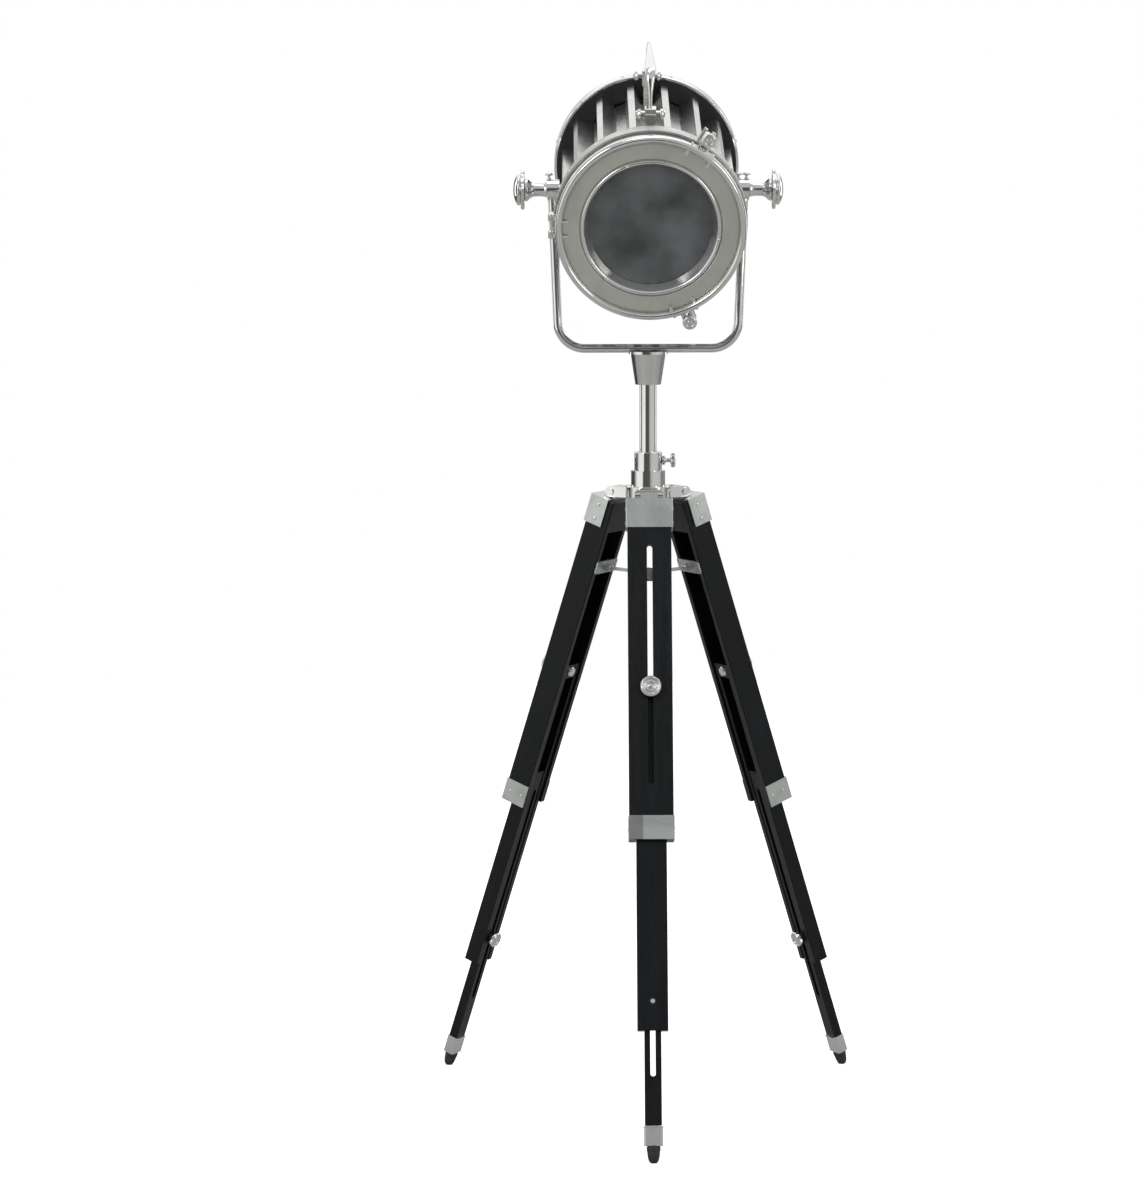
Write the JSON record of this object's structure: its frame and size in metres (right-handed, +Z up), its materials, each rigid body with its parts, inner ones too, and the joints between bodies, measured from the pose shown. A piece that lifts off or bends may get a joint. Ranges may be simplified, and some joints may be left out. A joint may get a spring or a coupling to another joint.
{
  "type": "tripod floor lamp",
  "caption": "Searchlight-style floor lamp: metal drum head with hinged glazed door in a tilting yoke, on a mast and a folding telescopic wooden tripod.",
  "frame": {"origin": "on the floor, under the centre of the bounding box", "axes": "+Z up; the lamp's face and the front leg point along -Y; +X is the viewer's right in front of it"},
  "size_m": [0.6426, 0.5616, 1.6008],
  "materials": {
    "chrome": "polished",
    "satin_nickel": "satin",
    "black_wood": "satin black lacquer",
    "rubber": "matt",
    "smoked_glass": "clear, dark behind",
    "bulb_glass": "frosted",
    "holder_plastic": "matt"
  },
  "bodies": {
    "hub": {"hub_casting": "chrome", "hinge_pins": "chrome", "mast_collar": "chrome"},
    "collar_screw": {"collar_thumbscrew": "chrome"},
    "spreader_ring": {"brace_ring": "chrome"},
    "mast": {"mast_tube": "chrome"},
    "yoke": {"yoke_socket": "chrome", "yoke_frame": "chrome", "tilt_lock_screws": "chrome"},
    "head": {"drum_shell": "chrome", "rear_cover": "chrome", "front_band": "satin_nickel", "trunnion_shafts": "chrome", "handle": "chrome", "handle_brackets": "chrome", "lamp_holder": "holder_plastic", "bulb": "bulb_glass", "cord_gland": "holder_plastic", "door_hinge_pin": "chrome", "door_gasket": "rubber"},
    "door": {"door_ring": "satin_nickel", "door_glass": "smoked_glass", "glass_retainer": "chrome"},
    "tilt_knob_left": {"tilt_knob_left": "chrome"},
    "tilt_knob_right": {"tilt_knob_right": "chrome"},
    "door_screw_upper": {"door_screw_upper": "chrome"},
    "door_screw_lower": {"door_screw_lower": "chrome"},
    "leg_front": {"leg_front_upper": "black_wood", "leg_front_cap": "satin_nickel", "leg_front_band": "satin_nickel", "leg_front_brace_bracket": "satin_nickel"},
    "leg_front_middle": {"leg_front_middle": "black_wood", "leg_front_clamp_bolts": "chrome"},
    "leg_front_lower": {"leg_front_lower": "black_wood", "leg_front_foot": "satin_nickel"},
    "leg_front_upper_knob": {"leg_front_upper_knob": "chrome"},
    "leg_front_lower_knob": {"leg_front_lower_knob": "chrome"},
    "leg_front_brace_arm": {"leg_front_brace_arm": "satin_nickel"},
    "leg_left": {"leg_left_upper": "black_wood", "leg_left_cap": "satin_nickel", "leg_left_band": "satin_nickel", "leg_left_brace_bracket": "satin_nickel"},
    "leg_left_middle": {"leg_left_middle": "black_wood", "leg_left_clamp_bolts": "chrome"},
    "leg_left_lower": {"leg_left_lower": "black_wood", "leg_left_foot": "satin_nickel"},
    "leg_left_upper_knob": {"leg_left_upper_knob": "chrome"},
    "leg_left_lower_knob": {"leg_left_lower_knob": "chrome"},
    "leg_left_brace_arm": {"leg_left_brace_arm": "satin_nickel"},
    "leg_right": {"leg_right_upper": "black_wood", "leg_right_cap": "satin_nickel", "leg_right_band": "satin_nickel", "leg_right_brace_bracket": "satin_nickel"},
    "leg_right_middle": {"leg_right_middle": "black_wood", "leg_right_clamp_bolts": "chrome"},
    "leg_right_lower": {"leg_right_lower": "black_wood", "leg_right_foot": "satin_nickel"},
    "leg_right_upper_knob": {"leg_right_upper_knob": "chrome"},
    "leg_right_lower_knob": {"leg_right_lower_knob": "chrome"},
    "leg_right_brace_arm": {"leg_right_brace_arm": "satin_nickel"}
  },
  "joints": [
    {"name": "leg_front_fold", "type": "hinge", "parent": "hub", "child": "leg_front", "pos_m": [0, 0.03517, 0.93], "axis": [1, 0, 0], "range_deg": [0, 14]},
    {"name": "leg_front_middle_slide", "type": "slide", "parent": "leg_front", "child": "leg_front_middle", "axis": [0, -0.3214, -0.9469], "range_m": [-0.2, 0.13]},
    {"name": "leg_front_lower_slide", "type": "slide", "parent": "leg_front_middle", "child": "leg_front_lower", "axis": [0, -0.3214, -0.9469], "range_m": [-0.1, 0.25]},
    {"name": "leg_front_upper_knob_turn", "type": "hinge", "parent": "leg_front_middle", "child": "leg_front_upper_knob", "pos_m": [0, -0.08268, 0.66058], "axis": [0, -0.9469, 0.3214], "continuous": true},
    {"name": "leg_front_lower_knob_turn", "type": "hinge", "parent": "leg_front_middle", "child": "leg_front_lower_knob", "pos_m": [0, -0.18697, 0.21337], "axis": [0, 0.9469, -0.3214], "continuous": true},
    {"name": "leg_front_brace_arm_turn", "type": "hinge", "parent": "leg_front", "child": "leg_front_brace_arm", "pos_m": [0, 0.02345, 0.81148], "axis": [1, 0, 0], "range_deg": [-77.5, 0]},
    {"name": "leg_left_fold", "type": "hinge", "parent": "hub", "child": "leg_left", "pos_m": [-0.04763, 0.11767, 0.93], "axis": [-0.5, -0.866, 0], "range_deg": [0, 14]},
    {"name": "leg_left_middle_slide", "type": "slide", "parent": "leg_left", "child": "leg_left_middle", "axis": [-0.2784, 0.1607, -0.9469], "range_m": [-0.2, 0.13]},
    {"name": "leg_left_lower_slide", "type": "slide", "parent": "leg_left_middle", "child": "leg_left_lower", "axis": [-0.2784, 0.1607, -0.9469], "range_m": [-0.1, 0.25]},
    {"name": "leg_left_upper_knob_turn", "type": "hinge", "parent": "leg_left_middle", "child": "leg_left_upper_knob", "pos_m": [-0.1497, 0.1766, 0.66058], "axis": [-0.8201, 0.4735, 0.3214], "continuous": true},
    {"name": "leg_left_lower_knob_turn", "type": "hinge", "parent": "leg_left_middle", "child": "leg_left_lower_knob", "pos_m": [-0.24001, 0.22874, 0.21337], "axis": [0.8201, -0.4735, -0.3214], "continuous": true},
    {"name": "leg_left_brace_arm_turn", "type": "hinge", "parent": "leg_left", "child": "leg_left_brace_arm", "pos_m": [-0.05778, 0.12353, 0.81148], "axis": [-0.5, -0.866, 0], "range_deg": [-77.5, 0]},
    {"name": "leg_right_fold", "type": "hinge", "parent": "hub", "child": "leg_right", "pos_m": [0.04763, 0.11767, 0.93], "axis": [-0.5, 0.866, 0], "range_deg": [0, 14]},
    {"name": "leg_right_middle_slide", "type": "slide", "parent": "leg_right", "child": "leg_right_middle", "axis": [0.2784, 0.1607, -0.9469], "range_m": [-0.2, 0.13]},
    {"name": "leg_right_lower_slide", "type": "slide", "parent": "leg_right_middle", "child": "leg_right_lower", "axis": [0.2784, 0.1607, -0.9469], "range_m": [-0.1, 0.25]},
    {"name": "leg_right_upper_knob_turn", "type": "hinge", "parent": "leg_right_middle", "child": "leg_right_upper_knob", "pos_m": [0.1497, 0.1766, 0.66058], "axis": [0.8201, 0.4735, 0.3214], "continuous": true},
    {"name": "leg_right_lower_knob_turn", "type": "hinge", "parent": "leg_right_middle", "child": "leg_right_lower_knob", "pos_m": [0.24001, 0.22874, 0.21337], "axis": [-0.8201, -0.4735, -0.3214], "continuous": true},
    {"name": "leg_right_brace_arm_turn", "type": "hinge", "parent": "leg_right", "child": "leg_right_brace_arm", "pos_m": [0.05778, 0.12353, 0.81148], "axis": [-0.5, 0.866, 0], "range_deg": [-77.5, 0]},
    {"name": "spreader_ring_slide", "type": "slide", "parent": "hub", "child": "spreader_ring", "axis": [0, 0, 1], "range_m": [-0.04084, 0]},
    {"name": "mast_height", "type": "slide", "parent": "hub", "child": "mast", "axis": [0, 0, 1], "range_m": [-0.08, 0.04]},
    {"name": "collar_screw_turn", "type": "hinge", "parent": "hub", "child": "collar_screw", "pos_m": [0.03, 0.09017, 0.978], "axis": [1, 0, 0], "continuous": true},
    {"name": "head_pan", "type": "hinge", "parent": "mast", "child": "yoke", "pos_m": [0, 0.09017, 1.1], "axis": [0, 0, 1], "range_deg": [-175, 175]},
    {"name": "head_tilt", "type": "hinge", "parent": "yoke", "child": "head", "pos_m": [0, 0.09017, 1.3816], "axis": [-1, 0, 0], "range_deg": [-20, 62]},
    {"name": "tilt_knob_left_turn", "type": "hinge", "parent": "head", "child": "tilt_knob_left", "pos_m": [-0.18, 0.09017, 1.3816], "axis": [-1, 0, 0], "continuous": true},
    {"name": "tilt_knob_right_turn", "type": "hinge", "parent": "head", "child": "tilt_knob_right", "pos_m": [0.18, 0.09017, 1.3816], "axis": [1, 0, 0], "continuous": true},
    {"name": "door_swing", "type": "hinge", "parent": "head", "child": "door", "pos_m": [-0.143, -0.07187, 1.3302], "axis": [0, 0.3024, -0.9532], "range_deg": [0, 100]},
    {"name": "door_screw_upper_turn", "type": "hinge", "parent": "door", "child": "door_screw_upper", "pos_m": [0.08161, -0.12089, 1.45166], "axis": [0, -0.9532, -0.3024], "continuous": true},
    {"name": "door_screw_lower_turn", "type": "hinge", "parent": "door", "child": "door_screw_lower", "pos_m": [0.05769, -0.03823, 1.19107], "axis": [0, -0.9532, -0.3024], "continuous": true}
  ],
  "couplings": [
    {"joint": "leg_front_brace_arm_turn", "follows": "leg_front_fold", "ratio": -5.5},
    {"joint": "leg_left_fold", "follows": "leg_front_fold", "ratio": 1},
    {"joint": "leg_left_brace_arm_turn", "follows": "leg_front_fold", "ratio": -5.5},
    {"joint": "leg_right_fold", "follows": "leg_front_fold", "ratio": 1},
    {"joint": "leg_right_brace_arm_turn", "follows": "leg_front_fold", "ratio": -5.5},
    {"joint": "spreader_ring_slide", "follows": "leg_front_fold", "m_per_rad": -0.1651}
  ]
}
